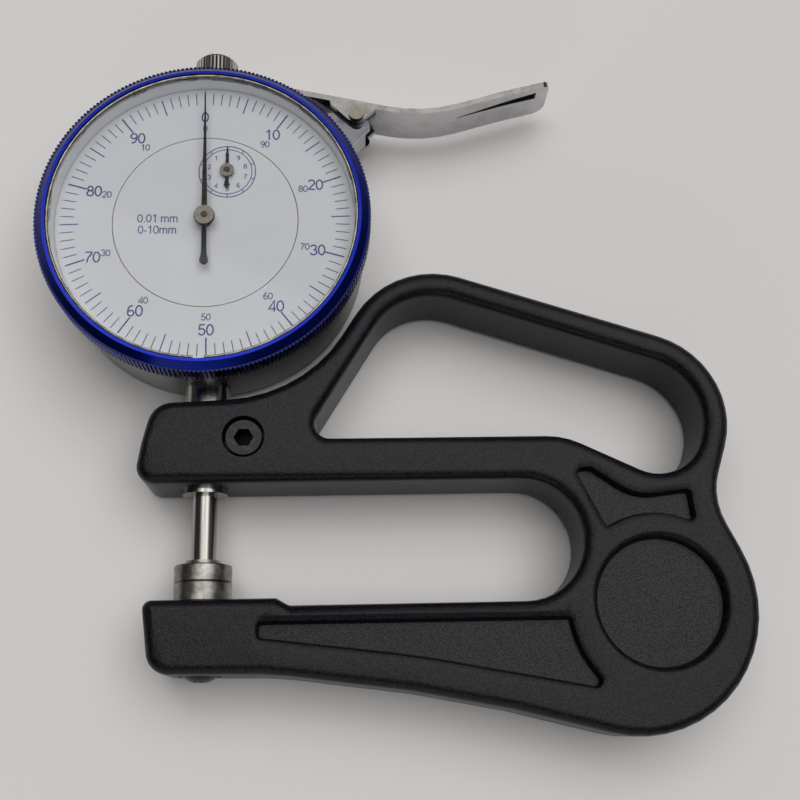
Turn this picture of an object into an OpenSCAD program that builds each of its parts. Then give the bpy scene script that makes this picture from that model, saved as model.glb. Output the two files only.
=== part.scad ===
// Dial thickness gauge: a cast hand frame, a plunger dial clamped in its upper arm, and a lift lever.
// It lies on its back. X runs along the throat, Y along the spindle and Z up, out of the dial.
// The origin is on the back face, under the spindle axis, half-way up the arm that clamps the stem.

/* [Frame] */
// Thickness of the casting
frame_t = 15; // [14.5:0.1:16]
// Distance from the spindle axis to the end of the throat
throat_reach = 65.6; // [62:0.1:67]
// Height of the throat, before the anvil block
throat_h = 21; // [20:0.1:22]
// Distance from the origin down to the upper arm's lower face
arm_drop = 7.6; // [7:0.1:8]
// Height of the raised block under the anvil
step_h = 1.25; // [1:0.05:1.5]
// Rounding of the casting's edges
edge_r = 1.8; // [1:0.1:2]
// Depth of the pockets in the face
pocket_depth = 2; // [1.2:0.1:2.5]
// Rounding of the pockets' rims
rim_r = 1.2; // [0.4:0.1:1.5]
// Radius of the round thumb recess at its rim
thumb_r = 12.1; // [10:0.1:12.6]

/* [Measuring] */
// Travel of the spindle
travel = 10; // [6:1:10]
// Diameter of the spindle
spindle_d = 4.4; // [4:0.1:4.6]
// Diameter of the stem that the frame clamps
stem_d = 8; // [7.6:0.1:8.4]
// Diameter of the contact and of the anvil
contact_d = 10; // [8:0.1:12]
// Height of the contact's disc
contact_h = 3; // [2.5:0.1:4]
// Height of the anvil above its block
anvil_h = 3.3; // [2.8:0.1:4.5]
// Diameter of the clamp screw's thread
clamp_d = 4; // [3:0.5:4]

/* [Dial] */
// Distance from the origin to the dial's axis
dial_y = 40; // [39.5:0.1:41]
// Outer diameter of the case
case_d = 57; // [56.5:0.1:57.5]
// Outer diameter of the bezel over its knurl
bezel_d = 59.7; // [59.5:0.1:61]
// Height of the dial's printed face
dial_z = 17.6; // [17.5:0.1:18]
// Space between the dial's face and the crystal
crystal_gap = 2.8; // [2.4:0.1:3.2]
// Angle at which the main pointer stands with the spindle down, in degrees
zero_angle = 1; // [-3:0.1:3]
// Radius of the fixed disc inside the turning dial ring
disc_r = 16.6; // [15:0.1:18]
// Number of ridges on the bezel
bezel_ridges = 240; // [120:20:280]
// Direction of the counter's axis from the dial's axis, in degrees
counter_angle = 69.3; // [62:0.1:76]

/* [Movement] */
// Pitch of the rack on the spindle
rack_pitch = 0.625; // [0.6:0.005:0.65]
// Teeth of the pinion on the rack
rack_teeth = 16; // [15:1:17]
// Module of the wheels and of the centre pinion
wheel_module = 0.19; // [0.18:0.01:0.2]
// Thinning of every tooth, which gives the backlash
tooth_thin = 0.03; // [0.02:0.01:0.06]

/* [Lever] */
// Width of the lever's strip
lever_w = 9.5; // [8:0.1:10]
// Thickness of the lever and of the bracket
sheet_t = 1.1; // [0.8:0.1:1.2]
// Distance of the lever's rivet from the dial's axis
rivet_r = 37.1; // [36.8:0.1:37.5]
// Direction of the lever's rivet from the dial's axis, in degrees
rivet_angle = 42.2; // [42:0.1:43]

/* [Fits] */
// Radial clearance of shafts that turn or slide
run_fit = 0.03; // [0.02:0.01:0.06]
// Radial clearance of screws and fixed pins
screw_fit = 0.02; // [0.01:0.01:0.05]
// Free space between pieces that move past each other
gap = 0.3; // [0.2:0.05:0.4]

/* [Hidden] */
$fn = 96;

// Heights and places along the spindle
axis_z = frame_t / 2;
throat_top = -arm_drop;
throat_floor = throat_top - throat_h;
block_y = throat_floor + step_h;
plane_y = block_y + anvil_h;
contact_gap = 0.02;
contact_y = plane_y + contact_gap;
boss_h = 0.8;
stem_end = throat_top - 1;
case_r = case_d / 2;
case_wall = 1.8;
case_bottom = dial_y - case_r;
case_top = dial_y + case_r;
cap_h = 6.5;
cap_d = 8.2;
cap_ridge = 0.3;

// Heights of the case and the movement
back_z = 0.4;
back_t = 1.3;
case_z = back_z + back_t;
shoulder_z = 15.6;
base_z = axis_z + spindle_d / 2 + 0.2;
base_t = 0.7;
wheel_z = base_z + base_t + 0.8;
wheel_t = 0.8;
top_z = 14.2;
top_t = 0.7;
dial_t = 0.4;
dial_gap = 0.15;
pointer_z = dial_z + crystal_gap - 0.9;

// Bezel, from the case up to the crystal
bezel_r = bezel_d / 2;
knurl_h = 0.35;
bezel_wall = 2.65;
collar_r = bezel_r - bezel_wall;
collar_t = 1;
shoulder_t = 1;
bezel_z = shoulder_z + 0.4;
ledge_z = dial_z - dial_t;
ledge_t = 0.4;
collar_top = ledge_z - ledge_t - gap / 2;
glass_z = dial_z + crystal_gap;
glass_t = 0.8;
bezel_top = glass_z + 1.4;
seat_r = collar_r - 0.2;
glass_r = seat_r + 0.6;
wire_d = 0.5;

// Gear train: 100 and 10 teeth, so that the pointer turns ten times for one turn of the drive wheel
wheel_teeth = 100;
centre_teeth = 10;
// The rack is on the spindle's left, so that the pointer turns clockwise as the spindle rises
rack_module = rack_pitch / PI;
rack_pinion_r = rack_teeth * rack_module / 2;
rack_x = spindle_d / 2 - 0.45;
wheel_r = wheel_teeth * wheel_module / 2;
centre_r = centre_teeth * wheel_module / 2;
train_d = wheel_r + centre_r;
drive_x = -(rack_x + rack_pinion_r);
drive_y = dial_y - sqrt(train_d * train_d - drive_x * drive_x);
drive_xy = [drive_x, drive_y];
centre_xy = [0, dial_y];
counter_xy = centre_xy + train_d * [cos(counter_angle), sin(counter_angle)];
drive_dir = atan2(dial_y - drive_y, -drive_x);
arbor_d = 1.2;
pivot_d = 0.8;

// Tooth phases: a wheel tooth on the line of centres sits in a gap of the centre pinion
centre_gap = drive_dir + 180;
centre_phase = centre_gap + 180 / centre_teeth;
counter_skew = (counter_angle - centre_gap + 720) % (360 / centre_teeth);
counter_phase = counter_angle + 180 + counter_skew * centre_teeth / wheel_teeth;

// Lever and bracket; the strip's path runs from the fork under the cap to the thumb's end
rivet_xy = centre_xy + rivet_r * [cos(rivet_angle), sin(rivet_angle)];
lever_z = axis_z - lever_w / 2;
ear_r = 2.4;
pin_d = 2;
fork_y = rivet_xy.y + 7.4;
fork_x = -3.5;
tip_x = rivet_xy.x + 38;
cap_y = fork_y + sheet_t / 2 + 0.2;
strip_path = [
    [fork_x, fork_y, 0.2],
    [4.5, fork_y, 12],
    concat(rivet_xy + [12.9, -0.2], 28),
    concat(rivet_xy + [29.5, 4.8], 60),
    concat(rivet_xy + [38.5, 7.1], 0.2)
];

// Guide pin and return spring
guide_y = dial_y - 2;
guide_d = 1.6;
guide_x = 9.5;
spring_wire = 0.5;
spring_r = 2.3;
spring_arm = 15;
spring_xy = [17.7, guide_y + guide_d / 2 + travel + spring_wire / 2 + 0.75 + spring_r];
spring_rest = 45.4;

// Outlines of the casting, as corners [x, y, radius], counter-clockwise
// The throat's end is round but for a short flat, so that no two points of the outline meet
end_flat = 0.2;
throat_r = (throat_h - end_flat) / 2;
frame_corners = [
    [-11.5, throat_top, 3.2],
    [throat_reach, throat_top, throat_r],
    [throat_reach, throat_floor, throat_r],
    [15.2, throat_floor, 1],
    [13, block_y, 1],
    [-9.4, block_y, 1.5],
    [-7.9, -39.5, 4],
    [13, -39.9, 40],
    [44, -44.2, 150],
    [81.2, -53.7, 21.5],
    [98.5, -32.7, 21.5],
    [88.7, -11.6, 11.8],
    [97.5, 13.4, 16.3],
    [33.8, 34.3, 16.4],
    [17.4, 8, 25],
    [-8.8, 6.85, 4.5],
    [-11, -2, 25]
];
loop_corners = [
    [17.5, 0.15, 2.6],
    [63.3, 0.15, 14],
    [84.6, -10.1, 8.2],
    [91.7, 10.5, 11.8],
    [35.3, 29, 12]
];
thumb_xy = [78, -29.2];
// The two pockets beside the thumb recess follow it at these radii
wedge_follow = 14.7;
bow_follow = 14;
wedge_corners = [
    [8.9, -35, 1.9],
    [36, -38.4, 100],
    [70.6, -45, 2.1],
    concat(thumb_xy + tangent_corner(wedge_follow, 190, 226), wedge_follow),
    [63.2, -30.5, 1.6],
    [8.9, -30.4, 1.9]
];
bow_corners = [
    [69.2, -17.9, 1.6],
    concat(thumb_xy + tangent_corner(bow_follow, 68, 119), bow_follow),
    [86.3, -17.4, 1.8],
    [85.5, -8.9, 1.8],
    [75.2, -10.1, 8],
    [67.8, -4.9, 2.2],
    [63.1, -5.2, 1.8]
];

// Bosses of the case, and pillars of the movement, as angles about the dial's axis
boss_angles = [65, 155, 245, 335];
boss_d = 4.4;
boss_in = 1.5;
boss_r = case_r - case_wall - boss_d / 2 - boss_in;
pillar_angles = [15, 150, 195, 330];
pillar_r = 14.5;
plate_in = 0.1;
foot_angles = [0, 120, 240];

// Small screws of the back, the movement and the bracket
small_d = 2;
small_head_d = 3.4;
small_l = 3.6;
back_sink = 0.6;

// Vectors and arcs
function unit(v) = v / norm(v);
function left(v) = [-v.y, v.x];
function polar(r, a) = r * [cos(a), sin(a)];
function spin(v, a) = [v.x * cos(a) - v.y * sin(a), v.x * sin(a) + v.y * cos(a)];

// Corner outside a circle of radius r, where its tangents at angles a and b meet
function tangent_corner(r, a, b) = polar(r / cos((b - a) / 2), (a + b) / 2);

// Arc that rounds corner q between corners p and s, on an outline moved inwards by d
function corner_arc(p, q, s, d, step) =
    let (
        t0 = unit([q.x - p.x, q.y - p.y]),
        t1 = unit([s.x - q.x, s.y - q.y]),
        turn = atan2(cross(t0, t1), t0 * t1),
        side = turn < 0 ? -1 : 1,
        r = max(q[2] - side * d, 0.02),
        v = [q.x, q.y] + d * (left(t0) + left(t1)) / (1 + t0 * t1),
        start = v - t0 * r * tan(abs(turn) / 2),
        centre = start + left(t0) * side * r,
        steps = max(1, ceil(abs(turn) / step))
    )
    [for (j = [0 : steps]) centre + spin(start - centre, turn * j / steps)];

// Closed outline through rounded corners, moved inwards by d
function rounded(corners, d = 0, step = 9) =
    let (n = len(corners))
    [
        for (i = [0 : n - 1])
            each corner_arc(corners[(i + n - 1) % n], corners[i], corners[(i + 1) % n], d, step)
    ];

// Closed strip of even height t along a path of rounded corners
function strip(path, t) =
    let (n = len(path))
    concat(
        [for (c = path) [c.x, c.y - t / 2, c[2]]],
        [for (i = [n - 1 : -1 : 0]) [path[i].x, path[i].y + t / 2, path[i][2]]]
    );

// Triangles of a counter-clockwise outline, cut off ear by ear, because its face may be hollow at the side
function within(p, a, b, c) = cross(b - a, p - a) > 0 && cross(c - b, p - b) > 0 && cross(a - c, p - c) > 0;
function corner_at(left, i) = let (n = len(left)) [left[(i + n - 1) % n], left[i % n], left[(i + 1) % n]];
function is_ear(points, left, t) =
    let (a = points[t[0]], b = points[t[1]], c = points[t[2]])
    cross(b - a, c - a) > 0 && len([for (k = left) if (within(points[k], a, b, c)) k]) == 0;
function next_ear(points, left, i) =
    is_ear(points, left, corner_at(left, i)) ? i % len(left) : next_ear(points, left, i + 1);
function ears(points, left, from = 0) =
    len(left) == 3 ? [left] :
    let (i = next_ear(points, left, from))
    concat(
        [corner_at(left, i)],
        ears(points, [for (k = [0 : len(left) - 1]) if (k != i) left[k]], i + 1)
    );

// Solid through a stack of outlines [points, z] with equal counts
module skin(layers) {
    n = len(layers[0][0]);
    m = len(layers);
    points = [for (layer = layers) for (p = layer[0]) [p.x, p.y, layer[1]]];
    sides = [
        for (k = [0 : m - 2])
            for (i = [0 : n - 1])
                let (j = (i + 1) % n)
                [k * n + i, (k + 1) * n + i, (k + 1) * n + j, k * n + j]
    ];
    floor_faces = ears(layers[0][0], [for (i = [0 : n - 1]) i]);
    roof_faces = [
        for (t = ears(layers[m - 1][0], [for (i = [0 : n - 1]) i]))
            (m - 1) * n * [1, 1, 1] + [t[2], t[1], t[0]]
    ];
    polyhedron(points, concat(floor_faces, sides, roof_faces));
}

// Slab of thickness t with rounded edges of radius r
module rounded_slab(corners, t, r, steps = 3) {
    bottom = [for (k = [0 : steps]) [r * (1 - sin(90 * k / steps)), r * (1 - cos(90 * k / steps))]];
    skin(concat(
        [for (e = bottom) [rounded(corners, e[0]), e[1]]],
        [for (k = [steps : -1 : 0]) [rounded(corners, bottom[k][0]), t - bottom[k][1]]]
    ));
}

// Cutter for a hole through a slab, which rounds both of the hole's edges
module rounded_hole(corners, t, r, steps = 3) {
    flare = [for (k = [0 : steps]) [-r * (1 - sin(90 * k / steps)), r * (1 - cos(90 * k / steps))]];
    skin(concat(
        [[rounded(corners, -r), -1]],
        [for (e = flare) [rounded(corners, e[0]), e[1]]],
        [for (k = [steps : -1 : 0]) [rounded(corners, flare[k][0]), t - flare[k][1]]],
        [[rounded(corners, -r), t + 1]]
    ));
}

// Cutter for a pocket in the face, with a rounded rim; the corners follow the outside of the rim
module pocket(corners, steps = 2) {
    rim = [for (k = [steps : -1 : 0]) [rim_r * sin(90 * k / steps), rim_r * (1 - cos(90 * k / steps))]];
    draft = 0.15;
    skin(concat(
        [[rounded(corners, rim_r + draft), frame_t - pocket_depth]],
        [for (e = rim) [rounded(corners, e[0]), frame_t - e[1]]],
        [[rounded(corners, 0), frame_t + 1]]
    ));
}

// Round bar along the spindle axis
module rod(d, y0, y1) {
    translate([0, y0, axis_z]) rotate([-90, 0, 0]) cylinder(d = d, h = y1 - y0);
}

// Round bar along the spindle axis with edges broken by c at both ends
module broken_rod(d, y0, y1, c) {
    translate([0, 0, axis_z]) rotate([-90, 0, 0]) rotate_extrude() polygon([
        [0, y0],
        [d / 2 - c, y0],
        [d / 2, y0 + c],
        [d / 2, y1 - c],
        [d / 2 - c, y1],
        [0, y1]
    ]);
}

// Upright round bar
module post(xy, d, z0, z1) {
    translate([xy.x, xy.y, z0]) cylinder(d = d, h = z1 - z0);
}

// Ring or disc about the dial's axis, from a profile of [radius, z]
module dial_turned(profile) {
    translate([0, dial_y, 0]) rotate_extrude($fn = 180) polygon(profile);
}

// Half the angle that an involute tooth takes at radius r, for a pressure angle of 20 degrees
function involute(a) = tan(a) * 180 / PI - a;
function tooth_half(teeth, pitch_r, r) =
    let (
        base_r = pitch_r * cos(20),
        at = acos(base_r / max(r, base_r)),
        thin = tooth_thin / 2 / pitch_r * 180 / PI
    )
    90 / teeth - thin + involute(20) - involute(at);

// Spur gear with involute flanks, drawn at the given radii from root to tip
module gear(teeth, pitch_r, radii, h, phase = 0) {
    last = len(radii) - 1;
    points = [
        for (k = [0 : teeth - 1])
            let (a = phase + 360 * k / teeth)
            each concat(
                [for (i = [0 : last]) polar(radii[i], a - tooth_half(teeth, pitch_r, radii[i]))],
                [for (i = [last : -1 : 0]) polar(radii[i], a + tooth_half(teeth, pitch_r, radii[i]))]
            )
    ];
    linear_extrude(h) polygon(points);
}

// Disc with fine ridges on its edge
module ridged(r, depth, ridges, h) {
    points = [
        for (k = [0 : ridges - 1])
            let (a = 360 * k / ridges, s = 360 / ridges)
            each [polar(r, a - 0.2 * s), polar(r, a + 0.2 * s), polar(r - depth, a + 0.5 * s)]
    ];
    linear_extrude(h) polygon(points);
}

// Socket head screw along Z, head at the top at z = 0
module socket_screw(d, head_d, head_h, length, socket) {
    difference() {
        union() {
            translate([0, 0, -head_h]) cylinder(d = head_d, h = head_h);
            translate([0, 0, -length]) cylinder(d = d, h = length - head_h + 0.1);
        }
        translate([0, 0, -head_h * 0.6]) cylinder(d = socket / cos(30), h = head_h, $fn = 6);
    }
}

// Button head screw along Z, its domed head ends at z = 0
module button_screw(d, head_d, head_h, dome_h, length, socket) {
    dome_r = (head_d * head_d / 4 + dome_h * dome_h) / (2 * dome_h);
    difference() {
        union() {
            intersection() {
                translate([0, 0, -head_h]) cylinder(d = head_d, h = head_h);
                translate([0, 0, -dome_r]) sphere(r = dome_r);
            }
            translate([0, 0, -length]) cylinder(d = d, h = length - head_h + 0.1);
        }
        translate([0, 0, -head_h * 0.6]) cylinder(d = socket / cos(30), h = head_h, $fn = 6);
    }
}

// Slotted screw along Z, head from z = 0 up
module slotted_screw(d, head_d, head_h, length) {
    difference() {
        union() {
            cylinder(d = head_d, h = head_h);
            translate([0, 0, -length]) cylinder(d = d, h = length + 0.1);
        }
        translate([-head_d, -0.2, head_h * 0.5]) cube([2 * head_d, 0.4, head_h]);
    }
}

// Sizes of the clamp and anvil screws
clamp_xy = [7.2, 0.3];
clamp_head_d = 6.2;
clamp_bore_d = 7.4;
clamp_head_h = 4;
clamp_sink = 0.7;
shank_d = 5;
edge_c = 0.2;
shank_h = 3.6;
anvil_screw_d = 3;
anvil_head_d = 6.8;
anvil_head_y = -40.75;
anvil_head_h = 2.2;
anvil_dome_h = 1.6;

// Casting with throat, finger loop, pockets and bores
module frame() {
    color("#232326") difference() {
        rounded_slab(frame_corners, frame_t, edge_r);
        rounded_hole(loop_corners, frame_t, edge_r);
        pocket(wedge_corners);
        pocket(bow_corners);
        translate([thumb_xy.x, thumb_xy.y, frame_t]) thumb_recess();
        rod(stem_d + 2 * screw_fit, throat_top - 4, 12);
        translate([clamp_xy.x, clamp_xy.y, 2]) cylinder(d = clamp_d + 2 * screw_fit, h = frame_t);
        translate([clamp_xy.x, clamp_xy.y, frame_t - clamp_sink - clamp_head_h])
            cylinder(d = clamp_bore_d, h = frame_t);
        rod(shank_d + 2 * screw_fit, block_y - shank_h, block_y + 2);
        rod(anvil_screw_d + 0.4, anvil_head_y, block_y);
        rod(anvil_head_d + 0.5, anvil_head_y - 4, anvil_head_y + anvil_head_h);
    }
}

// Cutter for the round recess, with a rounded rim
module thumb_recess() {
    rim = [for (a = [90 : -30 : 0]) [thumb_r - rim_r * sin(a), -rim_r * (1 - cos(a))]];
    floor_r = thumb_r - rim_r - 0.15;
    rotate_extrude($fn = 120) polygon(concat(
        [[0, -pocket_depth], [floor_r, -pocket_depth]],
        rim,
        [[thumb_r, 1], [0, 1]]
    ));
}

module anvil() {
    color("#b9b9b6") difference() {
        union() {
            broken_rod(contact_d, block_y, plane_y, edge_c);
            rod(shank_d, block_y - shank_h, block_y + 0.1);
        }
        rod(anvil_screw_d + 2 * screw_fit, block_y - shank_h - 1, block_y + 0.5);
    }
}

module anvil_screw() {
    color("#1d1d1f") translate([0, anvil_head_y, axis_z]) rotate([90, 0, 0])
        button_screw(
            anvil_screw_d, anvil_head_d, anvil_head_h, anvil_dome_h, block_y - anvil_head_y, 2.5
        );
}

module clamp_screw() {
    color("#1d1d1f") translate([clamp_xy.x, clamp_xy.y, frame_t - clamp_sink])
        socket_screw(clamp_d, clamp_head_d, clamp_head_h, frame_t - clamp_sink - 2.5, 3);
}

// Stem of the dial, counterbored below for its bush
stem_top = case_bottom + case_wall + 1;
bush_d = 6;
bush_l = 8;

module stem() {
    color("#c4c2bd") difference() {
        rod(stem_d, stem_end, stem_top);
        rod(spindle_d + 1, stem_end - 1, stem_top + 1);
        rod(bush_d, stem_end - 1, stem_end + bush_l);
    }
}

module stem_bush() {
    color("#b8a36a") difference() {
        rod(bush_d, stem_end, stem_end + bush_l);
        rod(spindle_d + 2 * run_fit, stem_end - 1, stem_end + bush_l + 1);
    }
}

// Case: a ring wall with a collar for the bezel, and bosses for the back and the movement
bush_top_d = 7;

module case() {
    color("#8f8f8f") difference() {
        union() {
            dial_turned([
                [case_r - case_wall, case_z],
                [case_r - 0.4, case_z],
                [case_r, case_z + 0.4],
                [case_r, shoulder_z - shoulder_t],
                [max(case_r, collar_r), shoulder_z],
                [collar_r, shoulder_z],
                [collar_r, collar_top],
                [collar_r - collar_t, collar_top],
                [collar_r - collar_t, shoulder_z],
                [case_r - case_wall, shoulder_z - shoulder_t]
            ]);
            for (a = boss_angles) {
                xy = centre_xy + polar(boss_r, a);
                translate([xy.x, xy.y, case_z + 1]) rotate(a) boss_web();
                post(xy, boss_d, case_z, base_z);
            }
        }
        for (a = boss_angles) {
            post(centre_xy + polar(boss_r, a), small_d + 2 * screw_fit, case_z - 1, base_z + 1);
        }
        rod(stem_d, case_bottom - 2, case_bottom + 6);
        rod(bush_top_d, case_top - 6, case_top + 2);
        for (a = bracket_angles) {
            translate([0, dial_y, axis_z]) rotate([0, 90, a]) cylinder(d = small_d + 2 * screw_fit, h = case_r + 2);
        }
    }
}

// Web that joins a boss to the case's wall, clear of the back cover's rim
module boss_web() {
    translate([0, -boss_d / 2, 0]) cube([boss_d / 2 + boss_in + 0.3, boss_d, base_z - case_z - 1]);
}

module case_back() {
    color("#a9a9a8") difference() {
        dial_turned([
            [0, back_z],
            [case_r - 0.5, back_z],
            [case_r, back_z + 0.5],
            [case_r, case_z - 0.2],
            [case_r - 0.3, case_z],
            [case_r - case_wall - 0.05, case_z],
            [case_r - case_wall - 0.05, case_z + 0.8],
            [case_r - case_wall - 0.8, case_z + 0.8],
            [case_r - case_wall - 0.8, case_z],
            [0, case_z]
        ]);
        for (a = boss_angles) {
            post(centre_xy + polar(boss_r, a), small_d + 2 * screw_fit, 0, case_z + 1);
            post(centre_xy + polar(boss_r, a), small_head_d + 0.4, 0, back_z + back_sink);
            post(centre_xy + polar(boss_r, a), 4.5, case_z, case_z + 2);
        }
    }
}

// Four screws of the back cover, heads sunk in it
module back_screws() {
    color("#555555") for (a = boss_angles) {
        xy = centre_xy + polar(boss_r, a);
        translate([xy.x, xy.y, back_z + back_sink]) rotate([180, 0, 0])
            slotted_screw(small_d, small_head_d, back_sink - 0.1, small_l);
    }
}

module top_bush() {
    color("#c4c2bd") difference() {
        rod(bush_top_d, case_top - case_wall - 0.6, fork_y - sheet_t / 2 - gap);
        rod(spindle_d + 2 * run_fit, case_top - 5, case_top + 6);
    }
}

// Lower plate of the movement, on the case's bosses
module base_plate() {
    color("#c9a84c") difference() {
        post(centre_xy, 2 * (boss_r + 2), base_z, base_z + base_t);
        post(drive_xy, arbor_d + 0.6, base_z - 1, base_z + 2);
        post(centre_xy, pivot_d + 2 * run_fit, base_z - 1, base_z + 2);
        post(counter_xy, pivot_d + 2 * run_fit, base_z - 1, base_z + 2);
        for (a = boss_angles) {
            post(centre_xy + polar(boss_r, a), small_d + 2 * screw_fit, base_z - 1, base_z + 2);
        }
    }
}

module plate_screws() {
    color("#555555") for (a = boss_angles) {
        xy = centre_xy + polar(boss_r, a);
        translate([xy.x, xy.y, base_z + base_t]) slotted_screw(small_d, 3, 0.8, small_l);
    }
}

module pillars() {
    color("#c9a84c") for (a = pillar_angles) {
        post(centre_xy + polar(pillar_r, a), 2.8, base_z + base_t, top_z);
    }
}

module top_plate() {
    color("#c9a84c") difference() {
        post(centre_xy, 2 * (disc_r - plate_in), top_z, top_z + top_t);
        for (xy = [drive_xy, counter_xy, centre_xy]) {
            post(xy, arbor_d + 2 * run_fit, top_z - 1, top_z + 2);
        }
    }
}

// Cock that carries the rack pinion's lower pivot under the spindle's level
cock_z = 3.6;
cock_t = 0.8;
cock_w = 4;
cock_reach = 9;
cock_xy = [drive_x - cock_reach, drive_y - cock_w / 2];

module pinion_cock() {
    color("#c9a84c") difference() {
        union() {
            translate([0, 0, cock_z]) linear_extrude(cock_t) polygon(rounded([
                [drive_x + cock_w / 2, drive_y - cock_w / 2, 0.45 * cock_w],
                [drive_x + cock_w / 2, drive_y + cock_w / 2, 0.45 * cock_w],
                [cock_xy.x - 0.65 * cock_w, cock_xy.y + 0.65 * cock_w, 0.55 * cock_w],
                [cock_xy.x - 0.65 * cock_w, cock_xy.y - 0.65 * cock_w, 0.55 * cock_w]
            ]));
            post(cock_xy, cock_w, cock_z, base_z);
        }
        post(drive_xy, pivot_d + 2 * run_fit, cock_z - 1, cock_z + 2);
    }
}

// Slotted block that keeps the guide pin, and so the spindle, from turning
slot_h = guide_d + 0.2;
block_x = 5.5;
block_t = 3;
block_z = 4.6;
block_end = 2;
slot_low = 3;
slot_high = 4.5;
block_l = [guide_y - slot_low, guide_y + travel + slot_high];

module guide_block() {
    color("#c9a84c") difference() {
        translate([block_x, block_l[0] - block_end, block_z])
            cube([block_t, block_l[1] - block_l[0] + 2 * block_end, base_z - block_z]);
        translate([block_x - 1, block_l[0], axis_z - slot_h / 2])
            cube([block_t + 2, block_l[1] - block_l[0], slot_h]);
    }
}

module spring_post() {
    color("#b9b9b6") union() {
        post(spring_xy, 3.6, 5, base_z);
        post(spring_xy, 5.6, 4.6, 5.2);
    }
}

module hairspring_stud() {
    color("#b9b9b6") post(counter_xy + [5.8, 0], 1, top_z - 1.2, top_z);
}

// Fixed disc of the dial, which carries the counter's scale
module dial_disc() {
    color("#f2f2f4") difference() {
        union() {
            post(centre_xy, 2 * disc_r, ledge_z, dial_z);
            for (a = foot_angles) post(centre_xy + polar(12, a), 2, top_z + top_t, ledge_z + 0.1);
        }
        post(centre_xy, 2.4, ledge_z - 1, dial_z + 1);
        post(counter_xy, 1.8, ledge_z - 1, dial_z + 1);
    }
}

// Turning ring of the dial, which carries the 100 divisions
module dial_ring() {
    color("#f2f2f4") dial_turned([
        [disc_r + dial_gap, ledge_z],
        [seat_r - 0.1, ledge_z],
        [seat_r - 0.1, dial_z],
        [disc_r + dial_gap, dial_z]
    ]);
}

// Bezel: it runs on the case's collar and holds the dial ring, the crystal and the wire ring
module bezel() {
    core_r = bezel_r - knurl_h - 0.1;
    color("#1226b4") union() {
        dial_turned([
            [collar_r + 0.05, bezel_z],
            [core_r - 0.3, bezel_z],
            [core_r, bezel_z + 0.3],
            [core_r, bezel_top - 1.1],
            [glass_r + 0.6, bezel_top],
            [glass_r + 0.05, bezel_top],
            [glass_r + 0.05, glass_z],
            [seat_r, glass_z],
            [seat_r, ledge_z],
            [seat_r - 1.1, ledge_z],
            [seat_r - 1.1, ledge_z - ledge_t],
            [collar_r + 0.05, ledge_z - ledge_t]
        ]);
        difference() {
            translate([0, dial_y, bezel_z + 0.4])
                ridged(bezel_r, knurl_h, bezel_ridges, bezel_top - bezel_z - 1.6);
            translate([0, dial_y, 0]) cylinder(r = core_r - 0.2, h = 2 * bezel_top);
        }
    }
}

module crystal() {
    color("#dfe8ee") post(centre_xy, 2 * glass_r, glass_z, glass_z + glass_t);
}

// Split wire ring that holds the crystal down, its ends a little apart
module snap_ring() {
    color("#d8c789") translate([0, dial_y, glass_z + glass_t + wire_d / 2]) rotate(-88)
        rotate_extrude(angle = 356, $fn = 180)
            translate([glass_r - wire_d / 2, 0]) circle(d = wire_d, $fn = 24);
}

// Spindle with the rack cut in its left side
rack_add = 0.16;
rack_ded = 0.25;
rack_low = drive_y - travel - 2.5;
rack_high = drive_y + 2.5;
spigot_d = 2.5;
spigot_l = 4.5;
neck_d = 6;

function rack_half(x) = rack_pitch / 4 + tooth_thin / 2 + tan(20) * (x - rack_x);

module spindle() {
    flat_x = rack_x + rack_add;
    root_x = rack_x - rack_ded;
    first = ceil((rack_low + 0.5 - drive_y) / rack_pitch);
    last = floor((rack_high - 0.5 - drive_y) / rack_pitch);
    color("#cfcdc8") difference() {
        rod(spindle_d, contact_y + contact_h + boss_h, cap_y + cap_h - 3);
        rod(spigot_d + 2 * screw_fit, contact_y, contact_y + contact_h + boss_h + spigot_l + 0.5);
        translate([-flat_x - 3, rack_low, 0]) cube([3, rack_high - rack_low, 2 * axis_z]);
        for (k = [first : last]) {
            y = drive_y + k * rack_pitch;
            translate([0, y, 0]) linear_extrude(2 * axis_z) polygon([
                [-flat_x - 1, -rack_half(flat_x + 1)],
                [-root_x, -rack_half(root_x)],
                [-root_x, rack_half(root_x)],
                [-flat_x - 1, rack_half(flat_x + 1)]
            ]);
        }
        translate([0, guide_y, axis_z]) rotate([0, 90, 0]) cylinder(d = guide_d, h = 5);
    }
}

module contact() {
    color("#b9b9b6") union() {
        broken_rod(contact_d, contact_y, contact_y + contact_h, edge_c);
        rod(neck_d, contact_y + contact_h - 0.1, contact_y + contact_h + boss_h);
        rod(spigot_d, contact_y + contact_h, contact_y + contact_h + boss_h + spigot_l);
    }
}

// Knurled cap on top of the spindle, which the lever lifts
module lift_cap() {
    r = cap_d / 2 - cap_ridge;
    dome = [for (a = [90 : -18 : 0]) [r - 1.5 + 1.5 * cos(a), cap_h - 1.3 + 1.3 * sin(a)]];
    color("#bdbab2") difference() {
        union() {
            translate([0, cap_y + 0.8, axis_z]) rotate([-90, 0, 0])
                ridged(cap_d / 2, cap_ridge, 36, cap_h - 1.9);
            translate([0, cap_y, axis_z]) rotate([-90, 0, 0]) rotate_extrude()
                polygon(concat([[0, 0], [0, cap_h]], dome, [[r, 0]]));
        }
        rod(spindle_d, cap_y - 1, cap_y + cap_h - 3);
    }
}

module guide_pin() {
    color("#b9b9b6") translate([0, guide_y, axis_z]) rotate([0, 90, 0]) cylinder(d = guide_d, h = guide_x);
}

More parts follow.
